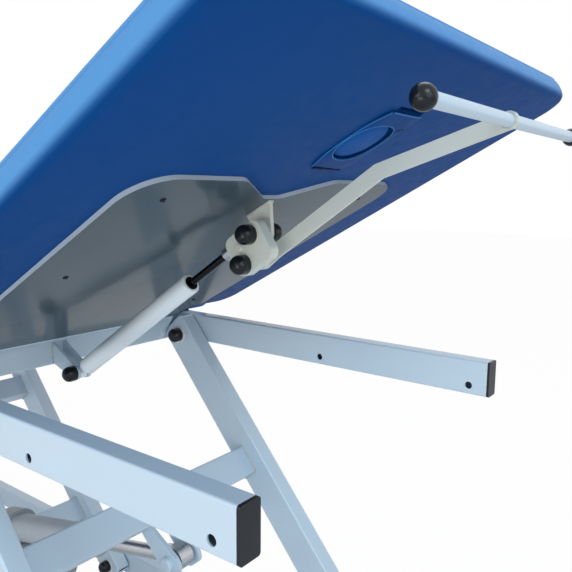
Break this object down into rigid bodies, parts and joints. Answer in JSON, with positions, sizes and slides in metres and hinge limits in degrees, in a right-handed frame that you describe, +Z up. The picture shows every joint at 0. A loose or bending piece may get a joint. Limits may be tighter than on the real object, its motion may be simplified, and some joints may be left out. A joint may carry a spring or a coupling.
{
  "type": "electric massage table",
  "caption": "Height-adjustable massage table on parallel lifting legs, with a gas-sprung backrest, a squeeze-bar release and a breathing hole under a plug.",
  "frame": {"origin": "on the floor under the middle of the table's length and width", "axes": "+X towards the head end, +Y across the table, +Z up"},
  "size_m": [1.8959, 0.684, 1.0548],
  "materials": {
    "white_paint": "semi-gloss powder coat",
    "strut_paint": "gloss",
    "actuator_grey": "satin paint",
    "zinc_steel": "zinc plated",
    "dark_steel": "nitrided",
    "black_plastic": "semi-gloss",
    "grey_plastic": "fine texture",
    "white_nylon": "satin",
    "rubber_black": "matte",
    "plywood": "raw birch ply",
    "blue_vinyl": "upholstery vinyl, fine grain"
  },
  "bodies": {
    "base": {"base_rail_near": "white_paint", "base_rail_far": "white_paint", "base_crossbars": "white_paint", "base_end_caps": "black_plastic", "lower_pivot_bolts": "zinc_steel", "lower_pivot_caps": "black_plastic"},
    "foot_head_near": {"level_foot_head_near": "rubber_black"},
    "foot_head_far": {"level_foot_head_far": "rubber_black"},
    "foot_foot_near": {"level_foot_foot_near": "rubber_black"},
    "foot_foot_far": {"level_foot_foot_far": "rubber_black"},
    "legs_head": {"leg_head_near": "white_paint", "leg_head_far": "white_paint", "leg_head_ties": "white_paint", "leg_head_bushes": "white_nylon", "actuator_front_bracket": "white_paint"},
    "legs_foot": {"leg_foot_near": "white_paint", "leg_foot_far": "white_paint", "leg_foot_ties": "white_paint", "leg_foot_bushes": "white_nylon", "actuator_rear_bracket": "white_paint"},
    "top_frame": {"rail_near": "white_paint", "rail_far": "white_paint", "top_crossbars": "white_paint", "rail_end_caps": "black_plastic", "hinge_lugs": "white_paint", "hinge_bolts": "zinc_steel", "strut_lugs": "white_paint", "strut_foot_caps": "black_plastic", "upper_pivot_bolts": "zinc_steel", "upper_pivot_caps": "black_plastic", "seat_board": "plywood", "seat_pad": "blue_vinyl", "seat_tapes": "rubber_black", "control_box": "grey_plastic", "control_inlet": "black_plastic"},
    "rocker": {"up_down_rocker": "black_plastic"},
    "backrest": {"backrest_board": "plywood", "backrest_pad": "blue_vinyl", "reinforcement_plate": "white_paint", "hinge_tube": "white_paint", "strut_tab": "white_paint", "hole_strap": "blue_vinyl"},
    "plug": {"hole_plug": "blue_vinyl"},
    "release_head": {"release_cheeks": "white_paint", "rod_block": "zinc_steel", "release_bolts": "zinc_steel", "release_caps": "black_plastic", "gas_rod": "dark_steel"},
    "gas_spring": {"gas_cylinder": "strut_paint", "rod_guide": "dark_steel", "strut_eye": "strut_paint"},
    "release_valve": {"release_pin": "zinc_steel"},
    "lever": {"lever_arm": "white_paint", "hand_bar": "white_paint", "hand_bar_balls": "black_plastic"},
    "actuator": {"actuator_tube": "actuator_grey", "actuator_gearbox": "actuator_grey", "actuator_motor": "actuator_grey"},
    "actuator_ram": {"actuator_rod": "zinc_steel"}
  },
  "joints": [
    {"name": "legs_head_swing", "type": "hinge", "parent": "base", "child": "legs_head", "pos_m": [0.73861, 0, 0.065], "axis": [0, 1, 0], "range_deg": [-17, 17]},
    {"name": "legs_foot_swing", "type": "hinge", "parent": "base", "child": "legs_foot", "pos_m": [0.01861, 0, 0.065], "axis": [0, 1, 0], "range_deg": [-17, 17]},
    {"name": "top_level", "type": "hinge", "parent": "legs_head", "child": "top_frame", "pos_m": [0.259, 0, 0.62854], "axis": [0, 1, 0], "range_deg": [-17, 17]},
    {"name": "backrest_tilt", "type": "hinge", "parent": "top_frame", "child": "backrest", "pos_m": [0.246, 0, 0.67054], "axis": [0, -1, 0], "range_deg": [-28.65, 36.35]},
    {"name": "release_head_turn", "type": "hinge", "parent": "backrest", "child": "release_head", "pos_m": [0.65169, -0.012, 0.8482], "axis": [0, -1, 0], "range_deg": [-2.5, 2.5]},
    {"name": "gas_spring_stroke", "type": "slide", "parent": "release_head", "child": "gas_spring", "axis": [-0.8356, 0, -0.5494], "range_m": [-0.036, 0.045]},
    {"name": "lever_squeeze", "type": "hinge", "parent": "release_head", "child": "lever", "pos_m": [0.64347, 0.0021, 0.81192], "axis": [0, -1, 0], "range_deg": [0, 4], "stiffness_Nm_per_rad": 60, "springref_deg": -3.44},
    {"name": "valve_press", "type": "slide", "parent": "release_head", "child": "release_valve", "axis": [-0.8356, 0, -0.5494], "range_m": [0, 0.001]},
    {"name": "plug_lift", "type": "slide", "parent": "backrest", "child": "plug", "axis": [-0.4795, 0, 0.8776], "range_m": [0, 0.05]},
    {"name": "rocker_tip", "type": "hinge", "parent": "top_frame", "child": "rocker", "pos_m": [-0.243, -0.2, 0.63254], "axis": [1, 0, 0], "range_deg": [-5, 5], "stiffness_Nm_per_rad": 0.5},
    {"name": "actuator_swing", "type": "hinge", "parent": "legs_foot", "child": "actuator", "pos_m": [-0.1175, 0, 0.22492], "axis": [0, 1, 0], "range_deg": [-24, 24]},
    {"name": "actuator_stroke", "type": "slide", "parent": "actuator", "child": "actuator_ram", "axis": [0.9751, 0, 0.2216], "range_m": [-0.05, 0.055]},
    {"name": "level_head_near", "type": "slide", "parent": "base", "child": "foot_head_near", "axis": [0, 0, -1], "range_m": [0, 0.012]},
    {"name": "level_head_far", "type": "slide", "parent": "base", "child": "foot_head_far", "axis": [0, 0, -1], "range_m": [0, 0.012]},
    {"name": "level_foot_near", "type": "slide", "parent": "base", "child": "foot_foot_near", "axis": [0, 0, -1], "range_m": [0, 0.012]},
    {"name": "level_foot_far", "type": "slide", "parent": "base", "child": "foot_foot_far", "axis": [0, 0, -1], "range_m": [0, 0.012]}
  ],
  "couplings": [
    {"joint": "legs_foot_swing", "follows": "legs_head_swing", "ratio": 1},
    {"joint": "top_level", "follows": "legs_head_swing", "ratio": -1},
    {"joint": "actuator_swing", "follows": "legs_head_swing", "ratio": -1.1355},
    {"joint": "actuator_stroke", "follows": "legs_head_swing", "m_per_rad": 0.15613},
    {"joint": "release_head_turn", "follows": "backrest_tilt", "ratio": -0.029},
    {"joint": "gas_spring_stroke", "follows": "backrest_tilt", "m_per_rad": 0.0654},
    {"joint": "valve_press", "follows": "lever_squeeze", "m_per_rad": 0.0143}
  ]
}
